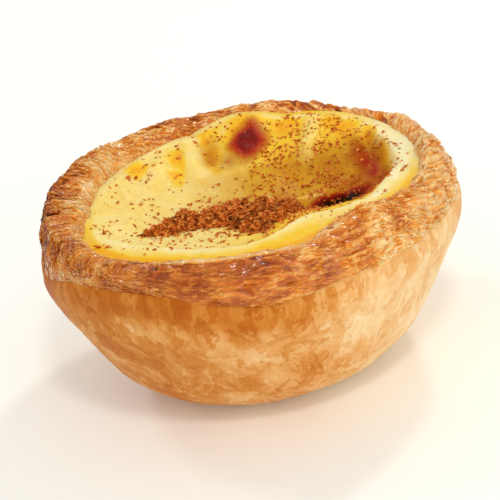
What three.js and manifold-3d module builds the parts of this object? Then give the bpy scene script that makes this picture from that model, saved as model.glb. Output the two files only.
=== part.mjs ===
// An egg tart: a deep case of puff pastry, baked in a round tin, filled with custard that has puffed up
// into a lip at the edge and sunk in the middle, with ground cinnamon shaken over it.
// The case and the custard are two closed bodies. Millimetres, +Z up, origin at the centre of the flat foot.
// Angles run anticlockwise from +X, seen from above.

import * as THREE from "three";
import { ImprovedNoise } from "three/addons/math/ImprovedNoise.js";
import { mergeVertices } from "three/addons/utils/BufferGeometryUtils.js";
import Module from "manifold-3d";

// The tin's shape.
const RIM_RADIUS = 37; // widest point of the rim
const CREST_HEIGHT = 35.6; // foot to the top of the rim
const FOOT_RADIUS = 14; // flat underside
const HEEL_RADIUS = 16.3; // rounding between foot and wall
const WALL_LEAN = THREE.MathUtils.degToRad(26.7); // wall's lean from upright
const WALL_TOP = 23; // where the wall ends and the rim swells out

// The rim's own section.
const RIM_WIDEST_HEIGHT = 27.5;
const CREST_RADIUS = 33;
const MOUTH_RADIUS = 30.2; // inner face of the rim, where the custard meets it
const MOUTH_HEIGHT = 31.2; // below this the inner face is hidden by the custard

// The pastry's thickness below the custard.
const FLOOR_THICKNESS = 3;
const FLOOR_RADIUS = 19;

// Leaves of pastry that show on the rim.
const LEAF_PITCH = 2.7; // from one leaf's edge to the next
const LEAF_DEPTH = 0.75; // how far a leaf stands proud of the one below
const LEDGE = 0.7; // how far the rim overhangs the wall it was pressed against

// The custard.
const CLEARANCE = 0.3; // between custard and pastry
const EDGE_HEIGHT = 33.2; // where the custard meets the rim
const LIP_WIDTH = 3.5; // from that edge to the top of the puffed lip
const SINK_DEPTH = 4.9; // how far the middle sank below the lip
const CLIFF_DEPTH = 3.2; // the steep drop inside the lip at the right
const PIT_DEPTH = 2.8; // the deepest part of the hollow, also at the right

// The cinnamon: the heap's middle line and half-width at places along x.
const HEAP_X = [-18.2, -15, -12.4, -8.5, -5, -3, -1, 2, 4, 6, 8, 10.5];
const HEAP_Y = [-7.3, -4.2, -2.4, -1.8, -1.7, -2.6, -4.6, -5.2, -4.8, -4.1, -2.2, -0.6];
const HEAP_HALF_WIDTH = [0.2, 2.0, 2.7, 2.9, 3.3, 4.6, 7.0, 7.8, 6.8, 5.2, 3.4, 0.8];
const CLUMPS = 64; // the largest clumps of cinnamon
const CLUMP_RADIUS = 0.62;
const CLUMP_SEED = 7;

// How finely the bodies are turned.
const CASE_SEGMENTS = 88;
const CUSTARD_SEGMENTS = 72;

const noise = new ImprovedNoise();
const turns = (angle, count, phase) => Math.sin(count * angle + phase);
const degrees = THREE.MathUtils.degToRad;
const blend = THREE.MathUtils.smoothstep;

// Smooth unevenness over a body of revolution, about -1 to 1, the same at 0 and 360 degrees.
function lumps(angle, height, size, layer) {
  const radius = RIM_RADIUS / size;
  return noise.noise(radius * Math.cos(angle) + layer, radius * Math.sin(angle) + layer, height / size);
}

// 1 at an angle, falling to 0 at the given half-width either side.
function near(angle, centre, halfWidth) {
  const away = Math.abs(THREE.MathUtils.euclideanModulo(angle - centre + Math.PI, 2 * Math.PI) - Math.PI);
  return 1 - blend(away, 0, halfWidth);
}

// --- Pastry case ---

// How the rim wanders: it is a hand-pressed edge that rose unevenly in the oven.
function rimSwell(angle) {
  const flatter = -0.5 * near(angle, degrees(168), degrees(32));
  return flatter + 0.2 * turns(angle, 1, 4) + 0.2 * turns(angle, 5, 2.1) + 0.2 * turns(angle, 8, 4);
}

function crestRise(angle) {
  const higher = 0.9 * near(angle, degrees(140), degrees(60)) + 0.7 * near(angle, degrees(308), degrees(45));
  const lower = -0.8 * near(angle, degrees(42), degrees(55));
  return higher + lower + 0.2 * turns(angle, 5, 1.3) + 0.18 * turns(angle, 9, 3);
}

// The crest lies further in at the front right, and further out at the left.
function crestIn(angle) {
  return 2 * near(angle, degrees(312), degrees(45)) - 1.3 * near(angle, degrees(185), degrees(60));
}

// The mouth is narrower at the left and the front right, where the pastry slumped inwards.
function mouthSwell(angle) {
  const left = -2.9 * near(angle, degrees(170), degrees(46)) - 1.8 * near(angle, degrees(124), degrees(34));
  const right = -2.4 * near(angle, degrees(308), degrees(32)) - 0.6 * near(angle, degrees(45), degrees(50));
  return left + right + 0.5 * near(angle, degrees(350), degrees(30)) + 0.15 * turns(angle, 7, 1);
}

// The custard filled the case higher at the back and the right than at the left.
function edgeHeight(angle) {
  const higher = 0.8 * near(angle, degrees(60), degrees(90)) + 0.3 * near(angle, degrees(320), degrees(60));
  return EDGE_HEIGHT + higher - 0.3 * near(angle, degrees(160), degrees(60));
}

// The slant of the leaves: level at the front, and more and more across the rim towards the right.
const leafSlant = (angle) => degrees(8) + degrees(52) * near(angle, degrees(5), degrees(75));

// Distance across the leaves, in millimetres: the leaves' edges are its level lines.
const SLANT_STEPS = 360;
const slantDrift = [0];
for (let i = 0; i < SLANT_STEPS; i++) {
  const angle = (2 * Math.PI * i) / SLANT_STEPS;
  slantDrift.push(slantDrift[i] + (Math.sin(leafSlant(angle)) * RIM_RADIUS * 2 * Math.PI) / SLANT_STEPS);
}
const wholeLeaves = Math.round(slantDrift[SLANT_STEPS] / LEAF_PITCH) * LEAF_PITCH;
function acrossLeaves(angle, along) {
  const turn = THREE.MathUtils.euclideanModulo(angle, 2 * Math.PI) / (2 * Math.PI);
  const drift = slantDrift[Math.round(turn * SLANT_STEPS)] * (wholeLeaves / slantDrift[SLANT_STEPS]);
  return along * Math.cos(leafSlant(angle)) + drift;
}

// The stepped edges of the leaves: each swells out and then drops back to the next.
function leafRelief(angle, along) {
  const step = acrossLeaves(angle, along + 1.2 * lumps(angle, along, 9, 3)) / LEAF_PITCH;
  const share = step - Math.floor(step);
  const swell = Math.sin(Math.PI * share ** 1.4) - 0.5;
  return LEAF_DEPTH * swell * (0.75 + 0.5 * lumps(angle, along, 6, 11));
}

// The section through the case on one side of the axis, from the foot's centre round to the floor's centre.
function caseSection(angle) {
  const section = [];
  const add = (radius, height, relief = 0, lean = 0) =>
    section.push(new THREE.Vector2(radius + relief * Math.cos(lean), height + relief * Math.sin(lean)));

  const foot = FOOT_RADIUS + 0.3 * turns(angle, 3, 2) + 1.1 * near(angle, degrees(204), degrees(48));
  add(0, 0);
  add(foot * 0.55, 0);
  add(foot, 0);

  const heelTurn = Math.PI / 2 - WALL_LEAN;
  const HEEL_STEPS = 4;
  for (let i = 1; i <= HEEL_STEPS; i++) {
    const turn = (heelTurn * i) / HEEL_STEPS;
    const radius = foot + HEEL_RADIUS * Math.sin(turn);
    const height = HEEL_RADIUS * (1 - Math.cos(turn));
    add(radius, height, 0.25 * lumps(angle, height, 8, 0) * blend(height, 0, 3), turn - Math.PI / 2);
  }

  const heelEnd = section[section.length - 1].clone();
  const wallEnd = RIM_RADIUS + rimSwell(angle) - 0.55 - LEDGE * 0.5 + 0.3 * turns(angle, 1, 4.5);
  const WALL_STEPS = 6;
  for (let i = 1; i <= WALL_STEPS; i++) {
    const share = i / WALL_STEPS;
    const height = heelEnd.y + (WALL_TOP - heelEnd.y) * share;
    add(heelEnd.x + (wallEnd - heelEnd.x) * share, height, 0.35 * lumps(angle, height, 9, 0), -WALL_LEAN);
  }

  // The rim's outer face: a ledge where it hung over the tin's edge, then leaves up to the crest.
  const widest = RIM_RADIUS + rimSwell(angle);
  const crestRadius = CREST_RADIUS + 0.4 * rimSwell(angle) - crestIn(angle);
  const crest = CREST_HEIGHT + crestRise(angle);
  const ledgeHeight = RIM_WIDEST_HEIGHT - 2.2 + 0.8 * lumps(angle, 0, 7, 5);
  add(wallEnd + 0.35, ledgeHeight - 0.9);
  const RIM_STEPS = 11;
  for (let i = 0; i <= RIM_STEPS; i++) {
    const turn = ((i / RIM_STEPS) * Math.PI) / 2;
    const foothold = blend(i, -1, 2);
    const height = RIM_WIDEST_HEIGHT + (crest - RIM_WIDEST_HEIGHT) * Math.sin(turn) - (1 - foothold) * 1.6;
    const along = turn * 7;
    const relief = leafRelief(angle, along) * foothold;
    add(crestRadius + (widest - crestRadius) * Math.cos(turn), height, relief, turn);
  }

  // The inner face: strands of pastry run down it, and the custard hides the rest.
  const mouth = MOUTH_RADIUS + mouthSwell(angle);
  const FACE_STEPS = 4;
  for (let i = 1; i <= FACE_STEPS; i++) {
    const turn = ((i / FACE_STEPS) * Math.PI) / 2;
    const strands = 0.3 * turns(angle, 31, 0) * near(angle, degrees(150), degrees(70));
    const radius = crestRadius - (crestRadius - mouth) * Math.sin(turn) - strands * Math.sin(turn);
    add(radius, crest - (crest - MOUTH_HEIGHT) * (1 - Math.cos(turn)));
  }
  add(mouth - 1.6, 22);
  add(mouth - 4.6, 12);
  add(FLOOR_RADIUS + 2.2, FLOOR_THICKNESS + 1.6);
  add(FLOOR_RADIUS, FLOOR_THICKNESS);
  add(FLOOR_RADIUS * 0.5, FLOOR_THICKNESS);
  add(0, FLOOR_THICKNESS);
  return section;
}

// A closed body round the Z axis whose section changes with the angle.
function turned(sectionAt, segments) {
  const geometry = new THREE.LatheGeometry(sectionAt(0), segments);
  const position = geometry.getAttribute("position");
  for (let i = 0; i <= segments; i++) {
    const angle = (2 * Math.PI * (i % segments)) / segments;
    sectionAt(angle).forEach((point, j, section) => {
      const x = point.x * Math.cos(angle);
      const y = point.x * Math.sin(angle);
      position.setXYZ(i * section.length + j, x, y, point.y);
    });
  }
  geometry.deleteAttribute("normal");
  geometry.deleteAttribute("uv");
  return mergeVertices(geometry, 1e-3);
}

// --- Custard ---

// A round dip with a flat middle: 1 at its centre and 0 outside the ellipse.
function dip(x, y, centreX, centreY, halfX, halfY, power) {
  const away = ((x - centreX) / halfX) ** 2 + ((y - centreY) / halfY) ** 2;
  return away >= 1 ? 0 : (1 - away) ** power;
}

// How far from the middle the lip starts to fall away: it is broadest at the front.
function lipRadius(angle) {
  return 27.5 - 5.3 * near(angle, degrees(280), degrees(85)) - 1.3 * near(angle, degrees(355), degrees(45));
}

// How steeply the custard falls away inside the lip.
function steepness(angle) {
  const sides = 1.6 * near(angle, degrees(5), degrees(45)) + 1.3 * near(angle, degrees(195), degrees(60));
  return 1.2 + sides + 1.6 * near(angle, degrees(280), degrees(100));
}

// The custard's top at a point, given its edge's radius in that direction.
function custardTop(x, y, edge) {
  const radius = Math.hypot(x, y);
  const angle = Math.atan2(y, x);
  const inward = edge - radius;
  const inside = lipRadius(angle) - radius;
  const lipRise = 0.5 + 0.4 * near(angle, degrees(270), degrees(110));
  const lip = lipRise * Math.sin((Math.PI / 2) * THREE.MathUtils.clamp(inward / LIP_WIDTH, 0, 1));
  const share = THREE.MathUtils.clamp(inside / lipRadius(angle), 0, 1);
  const sunk = SINK_DEPTH * (1 - (1 - share) ** steepness(angle));
  const inCliff = blend(inside, -0.6, 3) * (1 - blend(inside, 5, 15));
  const cliff = CLIFF_DEPTH * near(angle, degrees(2), degrees(48)) * inCliff;
  const pit = PIT_DEPTH * dip(x, y, 16.5, 2.5, 14, 13, 1.5);
  const fold = 0.8 * dip(x, y, 13.5, 4, 9, 2.8, 1);
  const billows = 0.35 * blend(inward, 0, 4) * noise.noise(x / 6 + 3, y / 6 + 8, 2);
  const level = EDGE_HEIGHT + (edgeHeight(angle) - EDGE_HEIGHT) * (1 - blend(inward, 4, 20));
  return level + lip - sunk - cliff - pit + fold + billows;
}

// A value of the heap at x, between the places it is given at.
function alongHeap(x, values) {
  const next = HEAP_X.findIndex((place) => place > x);
  if (next < 1) return values[next === 0 ? 0 : values.length - 1];
  const share = (x - HEAP_X[next - 1]) / (HEAP_X[next] - HEAP_X[next - 1]);
  return values[next - 1] + (values[next] - values[next - 1]) * share;
}

// The heap of cinnamon, shaken on along the hollow.
function heap(x, y) {
  if (x <= HEAP_X[0] || x >= HEAP_X[HEAP_X.length - 1]) return 0;
  const halfWidth = alongHeap(x, HEAP_HALF_WIDTH);
  const away = (y - alongHeap(x, HEAP_Y)) / halfWidth;
  const clumped = 0.8 + 0.3 * noise.noise(x / 2.2, y / 2.2, 5);
  return Math.min(1.1, 0.3 + 0.28 * halfWidth) * clumped * Math.max(0, 1 - away * away);
}

// The inner face of the case at a height, for the custard to keep clear of.
function faceRadius(angle, height) {
  const section = caseSection(angle);
  const crest = section.reduce((best, point, i) => (point.y > section[best].y ? i : best), 0);
  for (let i = crest; i < section.length - 1; i++) {
    const [upper, lower] = [section[i], section[i + 1]];
    if (height <= upper.y && height >= lower.y) {
      return lower.x + ((upper.x - lower.x) * (height - lower.y)) / (upper.y - lower.y || 1);
    }
  }
  return FLOOR_RADIUS;
}

// The section through the custard: under, up the side and over the top.
function custardSection(angle) {
  const section = [];
  const add = (radius, height) => section.push(new THREE.Vector2(radius, height));
  add(0, FLOOR_THICKNESS + CLEARANCE);
  add(FLOOR_RADIUS * 0.6, FLOOR_THICKNESS + CLEARANCE);
  add(FLOOR_RADIUS - 0.4, FLOOR_THICKNESS + CLEARANCE);
  const edgeZ = edgeHeight(angle);
  const sideHeights = [FLOOR_THICKNESS + 1.9, 12, 22, MOUTH_HEIGHT, edgeZ];
  // The custard's facets are chords of another number of sides, so they keep a little more clear.
  const clear = CLEARANCE + 0.35;
  for (const height of sideHeights) add(faceRadius(angle, height) - clear, height);

  const edge = faceRadius(angle, edgeZ) - clear;
  const TOP_STEPS = 24;
  for (let i = 1; i < TOP_STEPS; i++) {
    const radius = edge * (1 - i / TOP_STEPS) ** 0.92;
    const [x, y] = [radius * Math.cos(angle), radius * Math.sin(angle)];
    add(radius, custardTop(x, y, edge) + heap(x, y));
  }
  add(0, custardTop(0, 0, MOUTH_RADIUS) + heap(0, 0));
  return section;
}

// --- Cinnamon clumps, fused to the custard ---

// The same numbers from 0 to 1 every time.
function draws(seed) {
  let state = seed;
  return () => {
    state = (Math.imul(state, 1664525) + 1013904223) >>> 0;
    return state / 2 ** 32;
  };
}

const wasm = await Module();
wasm.setup();

function solidOf(geometry) {
  return new wasm.Manifold(
    new wasm.Mesh({
      numProp: 3,
      vertProperties: new Float32Array(geometry.getAttribute("position").array),
      triVerts: new Uint32Array(geometry.getIndex().array),
    }),
  );
}

function geometryOf(solid) {
  const mesh = solid.getMesh();
  return new THREE.BufferGeometry()
    .setAttribute("position", new THREE.BufferAttribute(mesh.vertProperties, 3))
    .setIndex(new THREE.BufferAttribute(mesh.triVerts, 1));
}

function clump(x, y, z, radius, spin) {
  const geometry = new THREE.IcosahedronGeometry(radius, 0);
  geometry.deleteAttribute("normal");
  geometry.deleteAttribute("uv");
  geometry.scale(1.35, 0.9, 0.75);
  geometry.rotateZ(spin);
  geometry.translate(x, y, z);
  return solidOf(mergeVertices(geometry, 1e-4));
}

function withCinnamon(custard) {
  const draw = draws(CLUMP_SEED);
  let body = solidOf(custard);
  for (let i = 0; i < CLUMPS; i++) {
    // Two in three lie along the heap, and the rest are shaken over the right of the hollow.
    const onHeap = i % 3 > 0;
    const x = onHeap ? -16 + 25 * draw() : 2 + 20 * draw();
    const aside = draw() + draw() - 1;
    const onLine = alongHeap(x, HEAP_Y) + aside * alongHeap(x, HEAP_HALF_WIDTH);
    const y = onHeap ? onLine : 0.24 * x + 16 * Math.abs(aside);
    const size = CLUMP_RADIUS * (0.7 + 0.6 * draw());
    const height = custardTop(x, y, MOUTH_RADIUS) + heap(x, y);
    body = body.add(clump(x, y, height + size * 0.2, size, Math.PI * draw()));
  }
  // Only the one joined body is kept, without any scrap that the joins may have shut in or cut off.
  const bodies = body.decompose().sort((a, b) => b.volume() - a.volume());
  return geometryOf(bodies[0]);
}

// --- The tart ---

const tart = new THREE.Group();

const pastry = new THREE.MeshStandardMaterial({ color: 0xd9a05a, roughness: 0.6, metalness: 0 });
const crust = new THREE.Mesh(turned(caseSection, CASE_SEGMENTS), pastry);
crust.name = "crust";
tart.add(crust);

const eggCustard = new THREE.MeshStandardMaterial({ color: 0xf2d06a, roughness: 0.35, metalness: 0 });
const custard = new THREE.Mesh(withCinnamon(turned(custardSection, CUSTARD_SEGMENTS)), eggCustard);
custard.name = "custard";
tart.add(custard);

export default tart;
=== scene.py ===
import math
import random

import bpy
import numpy as np
from mathutils import Euler, Matrix, Vector, noise


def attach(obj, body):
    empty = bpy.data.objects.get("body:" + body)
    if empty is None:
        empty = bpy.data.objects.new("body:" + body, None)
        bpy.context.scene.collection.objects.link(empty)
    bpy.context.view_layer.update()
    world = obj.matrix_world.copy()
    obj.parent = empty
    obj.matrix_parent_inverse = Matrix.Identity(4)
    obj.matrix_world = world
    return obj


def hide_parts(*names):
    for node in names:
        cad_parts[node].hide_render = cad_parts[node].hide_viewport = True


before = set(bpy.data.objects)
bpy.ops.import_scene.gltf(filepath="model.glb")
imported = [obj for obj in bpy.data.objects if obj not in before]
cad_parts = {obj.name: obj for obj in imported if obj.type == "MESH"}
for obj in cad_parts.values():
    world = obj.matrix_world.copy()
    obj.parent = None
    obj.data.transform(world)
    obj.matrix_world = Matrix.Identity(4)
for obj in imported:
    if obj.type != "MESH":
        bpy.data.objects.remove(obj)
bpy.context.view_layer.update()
bpy.ops.object.select_all(action="DESELECT")


# --- Camera: a long lens a little above the tart, tipped over to one side. ---
MM = 0.001
camera_data = bpy.data.cameras.new("camera")
camera_data.lens = 158.2
camera_data.clip_start = 0.01
camera = bpy.data.objects.new("camera", camera_data)
bpy.context.collection.objects.link(camera)
camera_height = math.radians(24.73)
camera_roll = math.radians(11.0)
camera_distance = 388.5
aim = Vector((-0.81, 0, 21.11)) * MM
away = Vector((0, -math.cos(camera_height), math.sin(camera_height)))
camera.location = aim + away * camera_distance * MM
camera.rotation_euler = (
    Matrix.Rotation(math.pi / 2 - camera_height, 3, "X") @ Matrix.Rotation(-camera_roll, 3, "Z")
).to_euler()
bpy.context.scene.camera = camera


# --- Pastry case: a round of puff pastry pressed into a plain round tin. The wall lay against the
# metal, so it baked smooth, with thin leaves stuck flat to it, pale where they are blistered and
# amber where they fried in butter. The rim above it is a section of its own. ---
STEPS_CASE = 140
FOOT_RADIUS = 14.0
HEEL_RADIUS = 16.3
HEEL_STEPS = 4
WALL_LEAN = math.radians(26.7)
TURN_RADIUS = 35.85
TURN_HEIGHT = 23.0
WALL_TOP = 28.5
WIDEST_RADIUS = 37.0
FLOOR_THICKNESS = 3.0
# The section stops this far from the axis, and spun() closes the hole that is left there.
POLE_RADIUS = 0.3


def near(angle, centre, half_width):
    """1 at an angle in degrees, falling smoothly to 0 at the half-width either side."""
    distance = abs((math.degrees(angle) - centre + 180) % 360 - 180)
    share = min(1, distance / half_width)
    return 1 - share * share * (3 - 2 * share)


def ramp(value, low, high):
    """0 at low and 1 at high, with a smooth rise between."""
    share = min(1, max(0, (value - low) / (high - low)))
    return share * share * (3 - 2 * share)


def speckle(x, y, z, size):
    """Smooth random lumps of about this size, from -1 to 1."""
    return noise.noise(Vector((x / size, y / size, z / size)))


def rim_swell(angle):
    """How far the rim stands out from a true circle."""
    flatter = -0.5 * near(angle, 168, 32)
    return flatter + 0.2 * (math.sin(angle + 4) + math.sin(5 * angle + 2.1) + math.sin(8 * angle + 4))


def foot_radius(angle):
    return FOOT_RADIUS + 0.3 * math.sin(3 * angle + 2) + 1.1 * near(angle, 204, 48)


def wall_swell(angle):
    """How far the top of the wall stands out from its plain section."""
    fuller = 0.2 * near(angle, 260, 70) + 0.2 * math.sin(angle + 4.5) + 0.3 * near(angle, 350, 60)
    return 0.35 + rim_swell(angle) + fuller


def wall_lift(angle):
    """How much higher the smooth wall reaches before the rim's leaves open."""
    shoulder = 3.0 * min(1, 1.5 * near(angle, 230, 38))
    return shoulder + 0.6 * near(angle, 296, 18) - 0.5 * near(angle, 272, 12)


def spun(name, section, steps, closed):
    """A section in millimetres, turned round the upright axis. Each vertex keeps how far along it lies."""
    bpy.ops.mesh.primitive_circle_add(vertices=len(section), radius=0.01)
    piece = bpy.context.object
    piece.name = piece.data.name = name
    along = piece.data.attributes.new("along", "FLOAT", "POINT")
    travelled = 0
    for i, (radius, height) in enumerate(section):
        if i:
            travelled += math.dist(section[i - 1], section[i])
        piece.data.vertices[i].co = (radius * MM, 0, height * MM)
        along.data[i].value = travelled
    bpy.ops.object.mode_set(mode="EDIT")
    if not closed:
        bpy.ops.mesh.select_all(action="DESELECT")
        bpy.ops.mesh.select_mode(type="EDGE")
        bpy.ops.object.mode_set(mode="OBJECT")
        last = len(section) - 1
        for edge in piece.data.edges:
            edge.select = set(edge.vertices) == {0, last}
        bpy.ops.object.mode_set(mode="EDIT")
        bpy.ops.mesh.delete(type="EDGE_FACE")
        bpy.ops.mesh.select_mode(type="VERT")
    bpy.ops.mesh.select_all(action="SELECT")
    bpy.ops.mesh.spin(steps=steps, angle=2 * math.pi, center=(0, 0, 0), axis=(0, 0, 1))
    bpy.ops.mesh.select_all(action="SELECT")
    bpy.ops.mesh.remove_doubles(threshold=1e-6)
    bpy.ops.object.mode_set(mode="OBJECT")
    rounded = piece.modifiers.new("rounded", "SUBSURF")
    rounded.levels = rounded.render_levels = 2
    bpy.ops.object.modifier_apply(modifier="rounded")
    bpy.ops.object.mode_set(mode="EDIT")
    if not closed:
        bpy.ops.mesh.select_all(action="DESELECT")
        bpy.ops.mesh.select_non_manifold()
        bpy.ops.mesh.merge(type="COLLAPSE")
    bpy.ops.mesh.select_all(action="SELECT")
    bpy.ops.mesh.normals_make_consistent(inside=False)
    bpy.ops.mesh.select_all(action="DESELECT")
    bpy.ops.object.mode_set(mode="OBJECT")
    bpy.ops.object.shade_smooth()
    return piece


def sculpted(piece, place):
    """Moves every vertex to place(angle, radius, height, along), in millimetres."""
    mesh = piece.data
    along = mesh.attributes["along"].data
    for vertex in mesh.vertices:
        x, y, z = vertex.co / MM
        vertex.co = Vector(place(math.atan2(y, x), math.hypot(x, y), z, along[vertex.index].value)) * MM
    mesh.update()


def painted(piece, name, value):
    """Gives every vertex a number, value(x, y, z, along), for the materials to read."""
    mesh = piece.data
    along = [distance.value for distance in mesh.attributes["along"].data]
    numbers = mesh.attributes.new(name, "FLOAT", "POINT")
    for i, vertex in enumerate(mesh.vertices):
        x, y, z = vertex.co / MM
        numbers.data[i].value = value(x, y, z, along[i])


def evenly(points, spacing):
    """Points along a path of straight legs, about this far apart."""
    out = [points[0]]
    for start, end in zip(points, points[1:]):
        count = max(1, round(math.dist(start, end) / spacing))
        for i in range(1, count + 1):
            out.append(tuple(a + (b - a) * i / count for a, b in zip(start, end)))
    return out


heel = []
for i in range(HEEL_STEPS + 1):
    turn = (math.pi / 2 - WALL_LEAN) * i / HEEL_STEPS
    heel.append((FOOT_RADIUS + HEEL_RADIUS * math.sin(turn), HEEL_RADIUS * (1 - math.cos(turn))))
foot = evenly([(POLE_RADIUS, 0), (FOOT_RADIUS, 0)], 4.5)
wall = evenly([heel[-1], (TURN_RADIUS, TURN_HEIGHT)], 1.5)
upright = [(36.45, 24.2), (36.85, 25.5), (WIDEST_RADIUS, 26.9), (36.9, WALL_TOP)]
inner_wall = [(35, 29), (33, 28), (31, 25.5), (26, 14.7), (21.2, 4.6)]
inner_floor = [(radius, FLOOR_THICKNESS) for radius in (19, 10, POLE_RADIUS)]
case_section = foot + heel[1:] + wall[1:] + upright + inner_wall + inner_floor
case = spun("case", case_section, STEPS_CASE, closed=False)
# How far along the section its outer side runs.
OUTER_LENGTH = FOOT_RADIUS + HEEL_RADIUS * (math.pi / 2 - WALL_LEAN) + 22


def case_place(angle, radius, height, along):
    """Makes the foot and the top out of round, and the outer side a little uneven."""
    if radius > 1 and along < OUTER_LENGTH:
        radius += (foot_radius(angle) - FOOT_RADIUS) * (1 - height / WALL_TOP) * ramp(radius, 6, 14)
        radius += wall_swell(angle) * ramp(height, 0, TURN_HEIGHT)
        x, y = radius * math.cos(angle), radius * math.sin(angle)
        swell = 0.3 * speckle(x, y, height, 9) + 0.12 * speckle(x, y, height + 50, 2.8)
        swell += 0.06 * speckle(x, y, height, 1.3)
        radius += swell * ramp(height, 0, 3)
        height += wall_lift(angle) * ramp(height, 20, 27)
        if height > 0.05:
            height -= 0.4 * swell * ramp(height, 0, 3) * (1 - ramp(height, 4, 20))
    return radius * math.cos(angle), radius * math.sin(angle), max(0, height)


sculpted(case, case_place)


def new_material(name):
    material = bpy.data.materials.new(name)
    material.use_nodes = True
    return material, material.node_tree.nodes, material.node_tree.links


def set_sockets(made, **sockets):
    """Sets a shader node's sockets by name, where _ stands for a space."""
    for key, value in sockets.items():
        made.inputs[key.replace("_", " ")].default_value = value
    return made


def node(nodes, kind, **sockets):
    return set_sockets(nodes.new(kind), **sockets)


def colour(red, green, blue):
    """A colour as seen on a screen, in the linear light that shaders work in."""
    shares = [channel / 255 for channel in (red, green, blue)]
    return tuple(c / 12.92 if c <= 0.04045 else ((c + 0.055) / 1.055) ** 2.4 for c in shares) + (1,)


def shades(nodes, stops):
    """A colour ramp from pairs of place and screen colour."""
    made = nodes.new("ShaderNodeValToRGB")
    elements = made.color_ramp.elements
    elements[0].position, elements[0].color = stops[0][0], colour(*stops[0][1])
    elements[1].position, elements[1].color = stops[-1][0], colour(*stops[-1][1])
    for place, shade in stops[1:-1]:
        elements.new(place).color = colour(*shade)
    return made


def connected(links, socket, value):
    """Feeds a socket from another socket, or sets it to a value."""
    if isinstance(value, bpy.types.NodeSocket):
        links.new(value, socket)
    else:
        socket.default_value = value


def mixed(nodes, links, factor, first, second, blend="MIX"):
    """Mixes two colours, each a socket or a colour, by a socket or a number."""
    made = nodes.new("ShaderNodeMix")
    made.data_type = "RGBA"
    made.blend_type = blend
    for socket, value in ((made.inputs[0], factor), (made.inputs[6], first), (made.inputs[7], second)):
        connected(links, socket, value)
    return made.outputs[2]


def calculated(nodes, links, operation, *values, clamp=False):
    """A sum worked out by the shader, on sockets or numbers."""
    made = nodes.new("ShaderNodeMath")
    made.operation = operation
    made.use_clamp = clamp
    for socket, value in zip(made.inputs, values):
        connected(links, socket, value)
    return made.outputs[0]


def weighed(nodes, links, *terms):
    """The sum of terms, each a socket, the value it swings round, and its weight."""
    total = 0.0
    for socket, middle, weight in terms:
        swing = calculated(nodes, links, "SUBTRACT", socket, middle)
        total = calculated(nodes, links, "MULTIPLY_ADD", swing, weight, total)
    return total


def attribute(nodes, name, output="Fac"):
    made = nodes.new("ShaderNodeAttribute")
    made.attribute_name = name
    return made.outputs[output]


def cloud(nodes, links, vector, scale, **sockets):
    """Noise on a vector in metres, with the scale in lumps per millimetre along each axis."""
    stretch = nodes.new("ShaderNodeMapping")
    stretch.inputs["Scale"].default_value = [s / MM for s in scale]
    links.new(vector, stretch.inputs["Vector"])
    made = node(nodes, "ShaderNodeTexNoise", Scale=1.0, **sockets)
    links.new(stretch.outputs[0], made.inputs["Vector"])
    return made.outputs["Fac"]


def case_bake_and_shade(x, y, z, along):
    """How brown the wall is: more under the rim and less at the foot, as it baked, and more to the left and
    less to the right, which is partly baking and partly painted shade on the left and painted light on the
    right.
    """
    angle = math.atan2(y, x)
    # Browner to the left and paler to the right: partly baked colour, partly painted shade and painted light
    # from the right.
    tone = 0.48 + 0.22 * near(angle, 200, 85) - 0.24 * near(angle, 335, 75)
    tone += 0.26 * ramp(z - wall_lift(angle), 20, 26.5) * (0.3 + 0.7 * near(angle, 255, 70))
    return tone - 0.06 * (1 - ramp(z, 0, 10))


painted(case, "bake_and_shade", case_bake_and_shade)
wall_pastry, nodes, links = new_material("wall pastry")
shader = nodes["Principled BSDF"]
place = nodes.new("ShaderNodeTexCoord").outputs["Object"]
sheets = cloud(nodes, links, place, (0.11, 0.11, 0.07), Detail=6.0, Roughness=0.55, Distortion=0.15)
torn = cloud(nodes, links, place, (0.28, 0.28, 0.18), Detail=6.0, Roughness=0.6, Distortion=0.2)
haze = cloud(nodes, links, place, (0.09, 0.09, 0.07), Detail=3.0)
fibres = cloud(nodes, links, place, (1.5, 1.5, 0.22), Detail=4.0, Roughness=0.6)
grain = cloud(nodes, links, place, (4.0, 4.0, 3.0), Detail=3.0)
sheet_edges = calculated(nodes, links, "FRACT", calculated(nodes, links, "MULTIPLY", sheets, 7.0))
torn_edges = calculated(nodes, links, "FRACT", calculated(nodes, links, "MULTIPLY", torn, 4.0))
tone = weighed(nodes, links, (sheet_edges, 0.5, -0.14), (torn_edges, 0.5, -0.12), (torn, 0.5, 0.4),
               (haze, 0.5, 0.75), (fibres, 0.5, 0.28), (grain, 0.5, 0.1))
# The wall's baked brown, with its painted shade on the left and painted light on the right.
tone = calculated(nodes, links, "ADD", tone, attribute(nodes, "bake_and_shade"))
pastry = shades(nodes, [(0.0, (248, 228, 188)), (0.22, (242, 206, 152)), (0.45, (230, 170, 102)),
                        (0.62, (212, 138, 60)), (0.8, (194, 110, 32)), (1.0, (172, 84, 18))])
links.new(tone, pastry.inputs["Fac"])
links.new(pastry.outputs["Color"], shader.inputs["Base Color"])
set_sockets(shader, Roughness=0.45, Specular_IOR_Level=0.06, Subsurface_Weight=0.15,
            Subsurface_Radius=(1.0, 0.5, 0.25), Subsurface_Scale=1.5 * MM)
relief = weighed(nodes, links, (sheet_edges, 0, 0.7), (torn_edges, 0, 0.5), (fibres, 0, 0.5),
                 (grain, 0, 0.35))
bump = node(nodes, "ShaderNodeBump", Strength=0.5, Distance=0.12 * MM)
links.new(relief, bump.inputs["Height"])
links.new(bump.outputs["Normal"], shader.inputs["Normal"])
case.data.materials.append(wall_pastry)
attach(case, "root")
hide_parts("crust")


# --- Pastry rim: the cut edge of the same pastry, which stood free in the oven. Its hundreds of
# leaves opened there, browned and curled over the tin's edge, with torn flakes and butter glaze. ---
STEPS_RIM = 245
OUTER_STEPS = 10
INNER_STEPS = 6
CREST_RADIUS = 33.0
CREST_HEIGHT = 35.6
WIDEST_HEIGHT = 27.5
MOUTH_RADIUS = 30.2
MOUTH_HEIGHT = 31.2
# The radius at which distances along the rim are measured.
RIM_RADIUS = 36
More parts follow.
